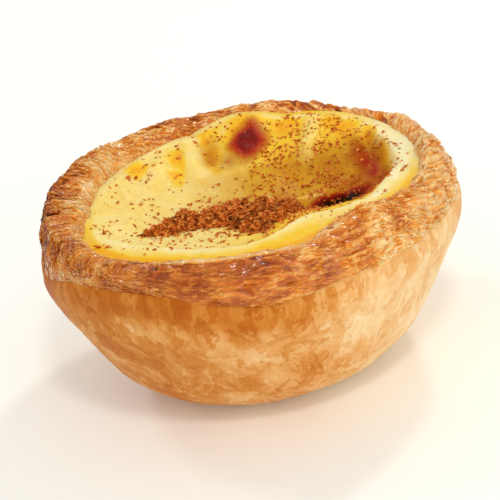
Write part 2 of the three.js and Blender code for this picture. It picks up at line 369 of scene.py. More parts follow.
# Every 30 degrees: which way the leaves' edges run, where 0 is along the rim and 90 across it, how
# far apart they stand, and how far they run on, in millimetres.
WINDOW = 30
LEAF_SLANTS = [34, 58, 40, 8, 14, 60, 84, 70, 8, 0, 8, 20]
LEAF_PITCHES = [1.6, 3.4, 3.0, 1.9, 1.7, 1.5, 1.3, 1.4, 1.8, 1.9, 1.7, 1.5]
LEAF_LENGTHS = [8, 9, 9, 9, 6, 2.6, 2.2, 2.6, 6, 8, 8, 8]


def crest_rise(angle):
    """How much higher than CREST_HEIGHT the crest stands."""
    higher = 0.9 * near(angle, 140, 60) + 0.7 * near(angle, 303, 34) + 0.4 * near(angle, 254, 16)
    lower = 0.8 * near(angle, 42, 55) + 1.1 * near(angle, 227, 20) + 0.9 * near(angle, 285, 18)
    return higher - lower + 0.2 * math.sin(5 * angle + 1.3) + 0.18 * math.sin(9 * angle + 3)


def crest_in(angle):
    """How much nearer to the middle the crest lies."""
    return 2 * near(angle, 304, 28) - 0.6 * near(angle, 330, 24) - 1.3 * near(angle, 185, 60)


def mouth_swell(angle):
    """How much wider the mouth is. Where the rim slumped inwards, it is narrower."""
    slump = -2.9 * near(angle, 170, 46) - 1.8 * near(angle, 124, 34) - 2.4 * near(angle, 303, 26)
    return slump + 0.7 * near(angle, 38, 42) + 0.9 * near(angle, 336, 34) + 0.15 * math.sin(7 * angle + 1)


skirt = [(34.2, 25.4), (35.7, 25.9), (36.5, 26.5)]
outer_side = []
for i in range(OUTER_STEPS + 1):
    turn = math.pi / 2 * i / OUTER_STEPS
    outer_side.append((CREST_RADIUS + (WIDEST_RADIUS - CREST_RADIUS) * math.cos(turn),
                       WIDEST_HEIGHT + (CREST_HEIGHT - WIDEST_HEIGHT) * math.sin(turn)))
inner_face = []
for i in range(1, INNER_STEPS + 1):
    turn = math.pi / 2 * i / INNER_STEPS
    inner_face.append((CREST_RADIUS - (CREST_RADIUS - MOUTH_RADIUS) * math.sin(turn),
                       CREST_HEIGHT - (CREST_HEIGHT - MOUTH_HEIGHT) * (1 - math.cos(turn))))
underside = [(30.1, 29.4), (30.6, 27), (32.2, 25.3)]
rim = spun("rim", skirt + outer_side + inner_face + underside, STEPS_RIM, closed=True)
# How far along the section the skirt ends, the crest lies and the inner face ends.
SKIRT_LENGTH = 3.8
CREST_ALONG = SKIRT_LENGTH + 9.6
RIM_LENGTH = 21.5


def rim_place(angle, radius, height, along):
    """Makes the crest rise and fall, and the mouth and the outside out of round."""
    outward = ramp(radius, CREST_RADIUS, WIDEST_RADIUS)
    inward = ramp(CREST_RADIUS - radius, 0, CREST_RADIUS - MOUTH_RADIUS)
    crest = 1 - ramp(CREST_HEIGHT - height, 0, CREST_HEIGHT - WIDEST_HEIGHT)
    radius += rim_swell(angle) * (0.4 + 0.6 * outward) - crest_in(angle) * (1 - outward) * (1 - inward)
    radius += mouth_swell(angle) * inward
    lifted = 1 - ramp(height, WIDEST_HEIGHT, CREST_HEIGHT - 1)
    height += crest_rise(angle) * crest + wall_lift(angle) * lifted
    return radius * math.cos(angle), radius * math.sin(angle), height


sculpted(rim, rim_place)


def leaf_stretches(angle, along):
    """The two stretches of rim that a place is in: number, share, and place along and across the leaves."""
    turn = math.degrees(angle) % 360 / WINDOW
    first = int(turn)
    share = ramp(turn - first, 0, 1)
    for number, weight in ((first, 1 - share), (first + 1, share)):
        slant = math.radians(LEAF_SLANTS[number % 12])
        forward = math.radians(turn * WINDOW - number * WINDOW) * RIM_RADIUS
        yield (number % 12, weight, forward * math.cos(slant) - along * math.sin(slant),
               forward * math.sin(slant) + along * math.cos(slant))


def leaf_edges(a, c, pitch, length, seed):
    """Overlapping leaves, at a place along and across them: -0.5 in a gap, 0.5 on a leaf's free edge."""
    warp = 1.7 * speckle(a / length, c / 1.8 / pitch, seed, 1)
    warp += 0.6 * speckle(a * 3.3 / length, c / 0.9 / pitch, seed + 5, 1)
    step = c / pitch + warp
    leaf = math.floor(step)
    share = step - leaf
    rise = share * share * (3 - 2 * share) if share < 0.8 else math.cos(math.pi / 2 * (share - 0.8) / 0.2)
    strength = 0.7 + 1.7 * speckle(a * 1.3 / length, leaf * 2.3, seed + 23, 1)
    return (rise - 0.5) * min(1.1, max(0, strength))


# What each vertex tells the material: how far its leaf stands out, which the material paints as shade in the
# gaps and pale on the raised edges, its place along and across the leaves of its even and its odd stretch,
# and the share of the odd one.
mesh = rim.data
for name in ("leaf", "flow_share"):
    mesh.attributes.new(name, "FLOAT", "POINT")
for name in ("flow_even", "flow_odd"):
    mesh.attributes.new(name, "FLOAT_VECTOR", "POINT")
rim_along = [value.value for value in mesh.attributes["along"].data]
leaf_stand = mesh.attributes["leaf"].data
flow_even = mesh.attributes["flow_even"].data
flow_odd = mesh.attributes["flow_odd"].data
flow_share = mesh.attributes["flow_share"].data
rim_normals = [n.vector.copy() for n in mesh.vertex_normals]
for i, vertex in enumerate(mesh.vertices):
    angle = math.atan2(vertex.co.y, vertex.co.x)
    along = rim_along[i]
    smooth = near(angle, 45, 60)
    coarse = fine = 0
    for number, weight, a, c in leaf_stretches(angle, along):
        pitch, length = LEAF_PITCHES[number], LEAF_LENGTHS[number]
        seed = number * 7.3
        flow = (a / (pitch / 1.6 * (length / 6) ** 0.7), c / pitch * 1.6, seed)
        if number % 2:
            flow_odd[i].vector = flow
            flow_share[i].value = weight
        else:
            flow_even[i].vector = flow
        if weight > 0.01:
            coarse += weight * leaf_edges(a, c, pitch, length, seed) * (0.36 + 0.14 * pitch)
            small = leaf_edges(a, c, 0.6 * pitch, 0.6 * length, seed + 40)
            fine += weight * small * 0.16 * (1 - 0.8 * smooth)
    x, y = RIM_RADIUS * math.cos(angle), RIM_RADIUS * math.sin(angle)
    lumps = 0.7 * speckle(x, y, along, 4.5) + 0.35 * speckle(x, y, along + 60, 2)
    lumps += 0.12 * speckle(x, y, along, 0.8) * (1 - smooth)
    depth = 0.2 * ramp(along, 0.3, 1.5) + 0.8 * ramp(along, 2.5, 7.5)
    depth *= 1 - ramp(along, RIM_LENGTH - 1.5, RIM_LENGTH)
    depth *= 1 - 0.7 * near(angle, 206, 30) * (1 - ramp(along, 7, 10)) - 0.45 * near(angle, 95, 50)
    depth *= 0.85 - 0.37 * near(angle, 255, 70)
    leaf_stand[i].value = 0.5 + (0.8 * coarse + 1.1 * fine + 0.3 * lumps) * (0.4 + 0.6 * ramp(along, 2.5, 6))
    vertex.co += rim_normals[i] * (coarse + fine + lumps) * depth * MM
mesh.update()


def rim_bake_and_shade(x, y, z, along):
    """How brown the rim is: most on the left outside, least on its inner face and to the right. This is
    partly baking, and partly painted shade on the left and painted light on the right and on the left's
    inner face, which faces the light.
    """
    angle = math.atan2(y, x)
    past_crest = along - CREST_ALONG
    # Darker to the left and paler to the right: partly baked colour, partly painted shade and painted light
    # from the right.
    tone = 0.47 + 0.16 * near(angle, 250, 60) - 0.29 * near(angle, 345, 75) + 0.24 * near(angle, 164, 46)
    tone += 0.36 * near(angle, 164, 52) * (1 - ramp(past_crest, -3, 0)) - 0.2 * near(angle, 135, 28)
    # Paler on the inner face, most at the left: partly paler pastry, partly painted light where that face
    # turns to the light.
    tone -= ramp(past_crest, 0.3, 3.2) * (0.06 + 0.46 * near(angle, 165, 62))
    pale_edge = ramp(past_crest, -0.9, -0.3) * (1 - ramp(past_crest, 0.8, 1.6))
    tone -= 0.55 * pale_edge * near(angle, 262, 44)
    low = 1 - ramp(along, 3.0, 7)
    tone += low * (0.02 * near(angle, 250, 60) - 0.35 * near(angle, 340, 75))
    return tone - 0.2 * near(angle, 212, 30) * (1 - ramp(along, 6, 9)) - 0.06 * near(angle, 215, 34)


def rim_bold(x, y, z, along):
    """How strongly light and dark leaves differ: least along the front, where the glaze is thick."""
    return 1 - 0.48 * near(math.atan2(y, x), 258, 75)


painted(rim, "bake_and_shade", rim_bake_and_shade)
painted(rim, "bold", rim_bold)
rim_pastry, nodes, links = new_material("rim pastry")
shader = nodes["Principled BSDF"]
place = nodes.new("ShaderNodeTexCoord").outputs["Object"]


def along_leaves(nodes, links, scale, **sockets):
    """Noise drawn out along the leaves, the same way as their relief runs."""
    both = []
    for name in ("flow_even", "flow_odd"):
        stretch = nodes.new("ShaderNodeMapping")
        stretch.inputs["Scale"].default_value = scale
        links.new(attribute(nodes, name, "Vector"), stretch.inputs["Vector"])
        made = node(nodes, "ShaderNodeTexNoise", Scale=1.0, **sockets)
        links.new(stretch.outputs[0], made.inputs["Vector"])
        both.append(made.outputs["Fac"])
    return mixed(nodes, links, attribute(nodes, "flow_share"), both[0], both[1])


def torn_lines(nodes, links, height, count):
    """Contour lines of a noise: its steps, and how dark they are, -1 on a torn edge, painted pale as a
    highlight, and 1 under it, painted as shade.
    """
    step = calculated(nodes, links, "FRACT", calculated(nodes, links, "MULTIPLY", height, count))
    pale = calculated(nodes, links, "MULTIPLY_ADD", step, 6.0, -5.0, clamp=True)
    dark = calculated(nodes, links, "MULTIPLY_ADD", step, -4.0, 1.0, clamp=True)
    return step, calculated(nodes, links, "SUBTRACT", dark, pale)


def crinkled(nodes, links, height, sharpness):
    """Thin folds where a noise passes through its middle, raised in the relief and painted bright as
    highlights on them.
    """
    off = calculated(nodes, links, "ABSOLUTE", calculated(nodes, links, "SUBTRACT", height, 0.5))
    return calculated(nodes, links, "MULTIPLY_ADD", off, -sharpness, 1.0, clamp=True)


strands = along_leaves(nodes, links, (0.36, 1.5, 1), Detail=3.0, Roughness=0.5, Distortion=1.0)
skins = along_leaves(nodes, links, (0.13, 0.42, 1), Detail=3.0, Roughness=0.5, Distortion=0.5)
threads = along_leaves(nodes, links, (0.3, 1.1, 1), Detail=2.0, Roughness=0.5, Distortion=0.5)
crinkles = along_leaves(nodes, links, (0.38, 1.5, 3), Detail=1.5, Roughness=0.5, Distortion=1.0)
folds = crinkled(nodes, links, crinkles, 18.0)
skin_steps, skin_lines = torn_lines(nodes, links, skins, 8.0)
thread_steps, thread_lines = torn_lines(nodes, links, threads, 6.0)
blotch = cloud(nodes, links, place, (0.25, 0.25, 0.25), Detail=4.0, Roughness=0.6)
crumb = cloud(nodes, links, place, (2.2, 2.2, 2.2), Detail=3.0)
patches = cloud(nodes, links, place, (0.13, 0.13, 0.2), Detail=2.0)
patches = calculated(nodes, links, "MULTIPLY_ADD", patches, 5.0, -1.9, clamp=True)
patches = calculated(nodes, links, "MULTIPLY_ADD", patches, 0.75, 0.2)
# Raised strands are painted paler and low ones darker, and each torn edge pale with a dark line under it:
# painted light and shade following the bump below.
fine_tone = weighed(nodes, links, (strands, 0.5, -0.55), (crumb, 0.5, -0.15), (skin_lines, 0, 0.2),
                    (thread_lines, 0, 0.14))
fine_tone = calculated(nodes, links, "MULTIPLY", fine_tone, patches)
# Paler on raised folds and leaf edges and darker in the gaps between leaves: painted highlights and painted
# shade that follow the relief.
tone = weighed(nodes, links, (blotch, 0.5, 0.7), (folds, 0.25, -0.5), (attribute(nodes, "leaf"), 0.5, -1.0))
tone = calculated(nodes, links, "ADD", tone, fine_tone)
# Adds the rim's baked brown, with its painted shade on the left and painted light on the right.
tone = calculated(nodes, links, "MULTIPLY_ADD", tone, attribute(nodes, "bold"), attribute(nodes, "bake_and_shade"))
tone = calculated(nodes, links, "ADD", tone, weighed(nodes, links, (blotch, 0.5, 0.5)))
pastry = shades(nodes, [(0.0, (255, 214, 150)), (0.15, (250, 190, 106)), (0.32, (242, 164, 70)),
                        (0.5, (224, 126, 34)), (0.7, (190, 92, 16)), (0.88, (154, 64, 8)),
                        (1.0, (110, 40, 6))])
links.new(tone, pastry.inputs["Fac"])
links.new(pastry.outputs["Color"], shader.inputs["Base Color"])
glaze = cloud(nodes, links, place, (0.3, 0.3, 0.3), Detail=4.0, Roughness=0.7)
glaze = calculated(nodes, links, "MULTIPLY_ADD", attribute(nodes, "bold"), -0.25, glaze)
glaze = calculated(nodes, links, "MULTIPLY_ADD", glaze, 8.0, -1.7, clamp=True)
links.new(glaze, shader.inputs["Coat Weight"])
set_sockets(shader, Coat_Roughness=0.12, Coat_IOR=1.4, Roughness=0.4, Specular_IOR_Level=0.1,
            Subsurface_Weight=0.1, Subsurface_Radius=(1.0, 0.7, 0.5), Subsurface_Scale=1.0 * MM)
relief = weighed(nodes, links, (strands, 0, 0.7), (crumb, 0, 0.3), (skin_steps, 0, 0.3),
                 (thread_steps, 0, 0.18))
relief = calculated(nodes, links, "MULTIPLY", relief, patches)
relief = calculated(nodes, links, "MULTIPLY_ADD", folds, 0.25, relief)
bump = node(nodes, "ShaderNodeBump", Strength=1.0, Distance=0.4 * MM)
links.new(relief, bump.inputs["Height"])
links.new(bump.outputs["Normal"], shader.inputs["Normal"])
beads = cloud(nodes, links, place, (1.0, 1.0, 1.2), Detail=1.0)
gloss = node(nodes, "ShaderNodeBump", Strength=0.35, Distance=0.4 * MM)
links.new(calculated(nodes, links, "MULTIPLY_ADD", relief, 0.25, beads), gloss.inputs["Height"])
links.new(gloss.outputs["Normal"], shader.inputs["Coat Normal"])
rim.data.materials.append(rim_pastry)
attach(rim, "root")
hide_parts("crust")


# --- Torn skins: the outermost leaves of the rim, thinner than paper. They cover it in patches drawn
# out along the leaves under them, with pale ragged edges that curled up as they dried. ---
SKIN_GAP = 0.05
SKIN_THICKNESS = 0.07
SKIN_CURL = 0.18


def skin_cover(angle, along):
    """Above 0 where a patch of skin lies, rising towards its middle."""
    cover = 0
    for number, weight, a, c in leaf_stretches(angle, along):
        seed = number * 5.1
        patch = speckle(a / 3.4, c / 1.0, seed, 1) + 0.25 * speckle(a / 0.9, c / 0.5, seed, 1)
        cover += weight * patch / math.hypot(weight, 1 - weight)
    edge = 1 - ramp(along, 3.5, 5) * (1 - ramp(along, CREST_ALONG + 2.5, CREST_ALONG + 4))
    return cover - 0.15 - 0.4 * near(angle, 45, 60) - edge


rim_normals = [n.vector.copy() for n in mesh.vertex_normals]
rim_bake_and_shade_values = [value.value for value in mesh.attributes["bake_and_shade"].data]
covers = [skin_cover(math.atan2(v.co.y, v.co.x), rim_along[v.index]) for v in mesh.vertices]
skin_quads = [tuple(face.vertices) for face in mesh.polygons if min(covers[i] for i in face.vertices) > 0]
# Where two patches touch at one corner only, the quads at that corner are left out.
pinched = True
while pinched:
    sides = {(quad[i - 1], quad[i]) for quad in skin_quads for i in range(4)}
    border = sorted(side for side in sides if side[::-1] not in sides)
    pinched = {side[0] for side, following in zip(border, border[1:]) if side[0] == following[0]}
    skin_quads = [quad for quad in skin_quads if not pinched.intersection(quad)]
used = sorted({i for quad in skin_quads for i in quad})
place_of = {old: new for new, old in enumerate(used)}
skin_points, skin_bake_and_shade_values = [], []
# The skin's underside sheet is painted darker: painted shade under the skin. Both sheets also carry the
# rim's painted shade and light.
for height, underside_shade in ((SKIN_GAP + SKIN_THICKNESS, 0), (SKIN_GAP, 0.1)):
    for i in used:
        fraying = math.exp(-covers[i] / 0.05)
        curl = SKIN_CURL * fraying
        skin_points.append(mesh.vertices[i].co + rim_normals[i] * (height + curl) * MM)
        skin_bake_and_shade_values.append(max(rim_bake_and_shade_values[i] - 0.02 - 0.24 * fraying, 0.14) + underside_shade)
skin_faces = []
for quad in skin_quads:
    top = tuple(place_of[i] for i in quad)
    skin_faces += [top, tuple(i + len(used) for i in reversed(top))]
for start, end in border:
    a, b = place_of[start], place_of[end]
    skin_faces.append((b, a, a + len(used), b + len(used)))
skin_mesh = bpy.data.meshes.new("rim_skins")
skin_mesh.from_pydata(skin_points, [], skin_faces)
for name in ("leaf", "bold", "flow_share"):
    copied = skin_mesh.attributes.new(name, "FLOAT", "POINT").data
    for new, old in enumerate(used * 2):
        copied[new].value = mesh.attributes[name].data[old].value
for name in ("flow_even", "flow_odd"):
    copied = skin_mesh.attributes.new(name, "FLOAT_VECTOR", "POINT").data
    for new, old in enumerate(used * 2):
        copied[new].vector = mesh.attributes[name].data[old].vector
skin_mesh.attributes.new("bake_and_shade", "FLOAT", "POINT").data.foreach_set("value", skin_bake_and_shade_values)
rim_skins = bpy.data.objects.new("rim_skins", skin_mesh)
bpy.context.collection.objects.link(rim_skins)
bpy.context.view_layer.objects.active = rim_skins
rim_skins.select_set(True)
bpy.ops.object.shade_smooth_by_angle(angle=math.radians(50))
rim_skins.select_set(False)
skin_mesh.materials.append(rim_pastry)
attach(rim_skins, "root")
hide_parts("crust")


# --- Custard: egg custard poured into the case. It puffed up in the oven, browned where it rose
# highest, and sank in the middle as it cooled, leaving a raised lip against the pastry. ---
CUSTARD_SQUARES = 270
EDGE_HEIGHT = 33.2
TUCK = 1.0
CREVICE_X = [8.5, 11, 13.6, 15.5, 17.5, 19.4, 21.3]
CREVICE_Y = [-3.4, -1.3, 0.1, 1.9, 3.3, 4.1, 4.3]
# Each soft fold of the skin: from here, to there, half-width, height.
FOLDS = [(-7.8, 24, -7.3, 12, 3.0, 0.9), (15, 22, 12.4, 12, 2.6, 0.7), (-14, 19.5, -15, 13, 2.8, 0.8),
         (8.6, 0.6, 13.8, 2.0, 1.2, 0.8), (-21, 11, -19.5, 5, 1.4, 0.5), (-19.5, 1.5, -21, -5, 1.2, 0.4)]


def edge_height(angle):
    """How high the custard stands where it meets the pastry."""
    back = 0.8 * near(angle, 60, 90) + 1.0 * near(angle, 86, 18) - 0.3 * near(angle, 160, 60)
    return EDGE_HEIGHT + back + 0.3 * near(angle, 320, 60)


def lobe(angle):
    """The puffed lobes along the back, 1 on each and 0 in the creases between them."""
    return abs(math.sin(math.radians((math.degrees(angle) - 69) * 180 / 36))) ** 0.6 * near(angle, 98, 64)


def custard_edge(angle):
    """How far from the middle the custard meets the pastry."""
    return MOUTH_RADIUS + mouth_swell(angle) - 0.3 + 0.5 * lobe(angle)


def lip_radius(angle):
    """How far from the middle the lip starts to fall away."""
    return 28.2 - 2.4 * near(angle, 245, 60) - 6 * near(angle, 295, 32) - 2 * near(angle, 335, 50)


def dip(x, y, centre_x, centre_y, half_x, half_y, power):
    """1 in the middle of an oval, falling to 0 at its edge."""
    away = ((x - centre_x) / half_x) ** 2 + ((y - centre_y) / half_y) ** 2
    return 0 if away >= 1 else (1 - away) ** power


def crevice(x):
    """Where the deep crack runs, at the right-hand end of the hollow."""
    return float(np.interp(x, CREVICE_X, CREVICE_Y))


def folded(x, y):
    """How high the soft folds of the skin stand here."""
    rise = 0
    for x0, y0, x1, y1, half, height in FOLDS:
        dx, dy = x1 - x0, y1 - y0
        share = min(1, max(0, ((x - x0) * dx + (y - y0) * dy) / (dx * dx + dy * dy)))
        away = math.hypot(x - x0 - share * dx, y - y0 - share * dy) / half
        rise += height * (1 - away * away) ** 2 if away < 1 else 0
    return rise


def custard_top(x, y):
    """How high the custard's surface lies."""
    radius = math.hypot(x, y)
    angle = math.atan2(y, x)
    inward = custard_edge(angle) - radius
    inside = lip_radius(angle) - radius
    lip = (0.5 + 0.4 * near(angle, 270, 110)) * math.sin(math.pi / 2 * min(1, max(0, inward) / 3.5))
    level = EDGE_HEIGHT + (edge_height(angle) - EDGE_HEIGHT) * (1 - ramp(inward, 4, 20))
    steepness = 1.2 + 1.6 * near(angle, 280, 100) + 1.6 * near(angle, 5, 45) + 1.3 * near(angle, 195, 60)
    share = min(1, max(0, inside / lip_radius(angle)))
    share = share * share / (share + 0.02)
    sunk = 5.1 * (1 - (1 - share) ** steepness)
    cliff = 3.2 * near(angle, 2, 48) * ramp(inside, -0.6, 3) * (1 - ramp(inside, 5, 15))
    pit = 2.8 * dip(x, y, 16.5, 2.5, 14, 13, 1.5)
    fold = 1.1 * dip(x, y, 12.5, crevice(x) + 3.4, 7, 2.2, 1) - 1.1 * dip(x, y, 16, crevice(x), 8.5, 1.5, 1)
    puffs = 0.8 * near(angle, 105, 80) * ramp(inward, 0, 4) * (1 - ramp(inward, 9, 18))
    puffs *= speckle(x + 40, y, 3, 4.6)
    raised = 1.1 * (lobe(angle) - 0.6 * near(angle, 98, 64))
    puffs += raised * ramp(inward, -2.5, 1) * (1 - ramp(inward, 6, 17))
    ledge = 0.35 * near(angle, 315, 50) * math.exp(-((inward - 2.6) / 0.6) ** 2)
    billows = 0.35 * ramp(inward, 0, 4) * speckle(x + 20, y + 50, 2, 6.5)
    creases = 0.5 * near(angle, 190, 70) * ramp(radius, 13, 19) * abs(speckle(x * 0.5, y, 9, 2.2))
    wrinkles = ramp(inward, 0, 3) * (0.24 * speckle(x, y, 7, 2) + 0.1 * speckle(x, y, 3, 0.8) - creases)
    return level + lip - sunk - cliff - pit + fold + folded(x, y) + puffs + billows + wrinkles - ledge


bpy.ops.mesh.primitive_grid_add(x_subdivisions=CUSTARD_SQUARES, y_subdivisions=CUSTARD_SQUARES, size=2)
custard = bpy.context.object
custard.name = custard.data.name = "custard_fill"
for vertex in custard.data.vertices:
    across, back = vertex.co.x, vertex.co.y
    x, y = across * math.sqrt(1 - back * back / 2), back * math.sqrt(1 - across * across / 2)
    reach = custard_edge(math.atan2(y, x)) + TUCK
    vertex.co = Vector((x * reach, y * reach, custard_top(x * reach, y * reach))) * MM
bpy.ops.object.mode_set(mode="EDIT")
bpy.ops.mesh.select_all(action="DESELECT")
bpy.ops.mesh.select_non_manifold()
# The sides, which the pastry hides, go down in three drops, each drawn in towards the middle.
for drop, share in ((4, 0.985), (4, 0.985), (20, 0.69)):
    bpy.ops.mesh.extrude_edges_move(TRANSFORM_OT_translate={"value": (0, 0, -drop * MM)})
    bpy.ops.transform.resize(value=(share, share, 1), center_override=(0, 0, 0))
bpy.ops.mesh.edge_face_add()
bpy.ops.mesh.select_all(action="SELECT")
bpy.ops.mesh.normals_make_consistent(inside=False)
bpy.ops.mesh.select_all(action="DESELECT")
bpy.ops.object.mode_set(mode="OBJECT")
bpy.ops.object.shade_smooth()
# painted() reads this of every piece. The custard has no section, so it stays 0.
custard.data.attributes.new("along", "FLOAT", "POINT")


def spot(x, y, centre_x, centre_y, half_x, half_y, core=0.0):
    """1 in the middle of a browned spot, falling evenly to 0 at its soft edge."""
    away = math.hypot((x - centre_x) / half_x, (y - centre_y) / half_y)
    away += 0.14 * speckle(x, y, 4, 2.6) + 0.05 * speckle(x, y, 2, 0.9)
    return 1 - min(1, max(0, (away - core) / (1 - core)))


def blister(x, y):
    """The dark rhombus where the custard rose highest: 1 in its middle, 0 at its edge."""
    back = (y - 20.3) / 7.2
    across = (x - 2.7 - 0.24 * (y - 20.3)) / 5.0
    away = (abs(across) ** 1.25 + abs(back) ** 1.25) ** 0.8
    away += 0.1 * speckle(x, y, 4, 2.4) + 0.05 * speckle(x, y, 2, 0.9)
    return 1 - min(1, max(0, away - 0.12) / 0.88)


# Each: strength, middle, half-widths, and for one of them the share that is evenly dark.
SCORCHES = [(0.66, 23.6, 6.6, 3.3, 7.4, 0.12), (0.3, 21, 6.5, 6, 6), (0.3, -5.0, 20, 3.6, 6),
            (0.4, -5.2, 18, 3, 4.5), (0.4, -1.4, 16.6, 4, 4.5)]
# How deeply the far side of the hollow is browned, at places along x: partly baked brown and partly painted
# shade, which deepens towards the right-hand wall of the hollow.
BROWNING_AND_SHADE_X = [-19, -11, -7, -3, 0, 7, 14, 18, 24]
BROWNING_AND_SHADE = [0.03, 0.04, 0.12, 0.17, 0.22, 0.26, 0.26, 0.36, 0.55]
# Each: strength, middle, half-width to its left and to its right, half-depth.
AMBER_SPOTS = [(0.95, -9.8, 18.9, 6, 2.6, 6), (0.6, -11.4, 14.2, 4.5, 3.2, 5.5),
               (0.85, -17.4, 17.4, 4.5, 3, 4.5), (0.9, -4.6, 18.4, 5, 4, 7),
               (0.9, -5.4, 24, 3.6, 4, 5), (0.95, 2.8, 22, 9, 9, 10),
               (0.95, 9.5, 23, 5, 4, 5), (1.0, 17.6, 20.4, 4, 5, 6),
               (1.0, 20.5, 16.5, 5, 4, 6), (0.95, 23.8, 12.5, 3, 2.6, 4),
               (0.95, 25.6, 6, 1.5, 1.6, 5)]


def scorch_and_shade(x, y, z, along):
    """How dark the custard is painted, from 0 to 1 and a little past it in the crevice: baked brown and
    burnt spots, with painted shade in the hollow, darkest down its right-hand wall, and painted shade in the
    crack of the crevice.
    """
    radius = math.hypot(x, y)
    inside = lip_radius(math.atan2(y, x)) - radius
    browning_and_shade = float(np.interp(x, BROWNING_AND_SHADE_X, BROWNING_AND_SHADE))
    browning_and_shade *= ramp(y, -5, 1) * (1 - 0.9 * ramp(y, 11, 16)) * (1 - ramp(radius, 25.2, 26.8))
    burnt_and_shaded = browning_and_shade * ramp(inside, -0.2, 1.4) * (1 + 0.3 * speckle(x, y, 8, 3))
    for place in SCORCHES:
        burnt_and_shaded = max(burnt_and_shaded, place[0] * spot(x, y, *place[1:]))
    burnt_and_shaded = max(burnt_and_shaded, min(0.8, 1.14 * blister(x, y))) * (1 - 0.7 * min(1, folded(x, y)))
    # The crevice is painted darkest of all, as shade in the deep crack.
    return max(burnt_and_shaded, 1.25 * dip(x, y, 15.5, crevice(x) + 0.2, 9.5, 2.1, 1) * ramp(x, 6.5, 12.5))


def yolk(x, y, z, along):
    """How deep a yellow the custard is: richest on the lip and where it was browned."""
    radius = math.hypot(x, y)
    angle = math.atan2(y, x)
    inside = lip_radius(angle) - radius
    band = (1 - ramp(inside, -4, 1)) * (0.7 * near(angle, 262, 75) + 0.35 * near(angle, 200, 60))
    past_edge = radius - custard_edge(angle)
    edge = (0.5 - 0.48 * near(angle, 15, 50)) * ramp(past_edge, -1.6, -0.4) * (1 - near(angle, 130, 85))
    edge += 0.35 * near(angle, 325, 35) * ramp(past_edge, -3.2, -1.5)
    far = 0.4 * near(angle, 95, 90) * ramp(radius, 12, 24) * (0.8 + 0.8 * speckle(x, y, 9, 5))
    far *= 1 - 0.85 * ramp(past_edge, -5, -2.5)
    amber = max(full * spot(x, y, centre_x, centre_y, left if x < centre_x else right, deep)
                for full, centre_x, centre_y, left, right, deep in AMBER_SPOTS)
    amber = ramp(amber + 0.2 * speckle(x, y, 12, 2), -0.1, 0.9) * (1 - min(1, 1.2 * folded(x, y)))
    hollow = ramp(inside, -0.4, 2) * (0.16 + 0.4 * ramp(x, -9, 8) * (1 - min(1, folded(x, y))))
    plain = 0.12 - 0.12 * near(angle, 5, 60) * ramp(radius, 18, 25)
    return min(1, plain + max(band + edge, far, hollow, 0.95 * amber))


painted(custard, "scorch_and_shade", scorch_and_shade)
painted(custard, "yolk", yolk)
egg_custard, nodes, links = new_material("egg custard")
shader = nodes["Principled BSDF"]
place = nodes.new("ShaderNodeTexCoord").outputs["Object"]
curd = cloud(nodes, links, place, (0.3, 0.3, 0.3), Detail=5.0, Roughness=0.55)
pores = cloud(nodes, links, place, (2.4, 2.4, 2.4), Detail=3.0)
rich = weighed(nodes, links, (curd, 0.5, 0.45))
rich = calculated(nodes, links, "ADD", rich, attribute(nodes, "yolk"), clamp=True)
base = shades(nodes, [(0.0, (250, 236, 184)), (0.25, (248, 222, 132)), (0.6, (246, 202, 50)),
                      (1.0, (246, 176, 10))])
links.new(rich, base.inputs["Fac"])
scorched_and_shaded = attribute(nodes, "scorch_and_shade")
mottle = weighed(nodes, links, (curd, 0.5, 0.35), (pores, 0.5, 0.15))
scorch_and_shade_share = calculated(nodes, links, "MULTIPLY", scorched_and_shaded, 2.0, clamp=True)
mottle = calculated(nodes, links, "MULTIPLY", mottle, scorch_and_shade_share)
mottle = calculated(nodes, links, "ADD", scorched_and_shaded, mottle, clamp=True)
# Multiplied over the yellow: the pale olive end is baked colour and painted shade in the hollow, the middle
# baked and burnt brown, and the near-black end painted shade in the crevice.
toast_and_shade = shades(nodes, [(0.0, (255, 255, 255)), (0.16, (230, 213, 184)), (0.32, (208, 177, 134)),
                       (0.48, (192, 118, 72)), (0.64, (180, 60, 12)), (0.8, (138, 26, 3)),
                       (1.0, (40, 24, 20))])
links.new(mottle, toast_and_shade.inputs["Fac"])
toasted_and_shaded = mixed(nodes, links, 1.0, base.outputs["Color"], toast_and_shade.outputs["Color"], "MULTIPLY")
links.new(toasted_and_shaded, shader.inputs["Base Color"])
moist = cloud(nodes, links, place, (0.35, 0.35, 0.35), Detail=3.0, Roughness=0.6)
moist = calculated(nodes, links, "MULTIPLY_ADD", moist, 3.0, -1.4, clamp=True)
clear_of_scorch_and_shade = calculated(nodes, links, "MULTIPLY_ADD", scorched_and_shaded, -2.0, 0.7, clamp=True)
links.new(calculated(nodes, links, "MULTIPLY", moist, clear_of_scorch_and_shade), shader.inputs["Coat Weight"])
set_sockets(shader, Roughness=0.45, Specular_IOR_Level=0.12, Coat_Roughness=0.1, Coat_IOR=1.35,
            Subsurface_Weight=0.35, Subsurface_Radius=(1.0, 0.7, 0.25), Subsurface_Scale=2.0 * MM)
bump = node(nodes, "ShaderNodeBump", Strength=0.5, Distance=0.3 * MM)
links.new(weighed(nodes, links, (curd, 0, 1.0), (pores, 0, 0.35)), bump.inputs["Height"])
links.new(bump.outputs["Normal"], shader.inputs["Normal"])
links.new(bump.outputs["Normal"], shader.inputs["Coat Normal"])
custard.data.materials.append(egg_custard)
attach(custard, "root")
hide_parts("custard")


# --- Cinnamon: coarsely ground bark, shaken on by hand. Most fell in one ridge along the hollow,
# and the rest lies scattered, thicker towards the right. ---
HEAP_GRAINS = 11000
SPECKS = 1900
CORE_THICKNESS = 0.4
CORE_MIDDLE = (-4, -4.5)
CORE_SIZE = (31, 20)
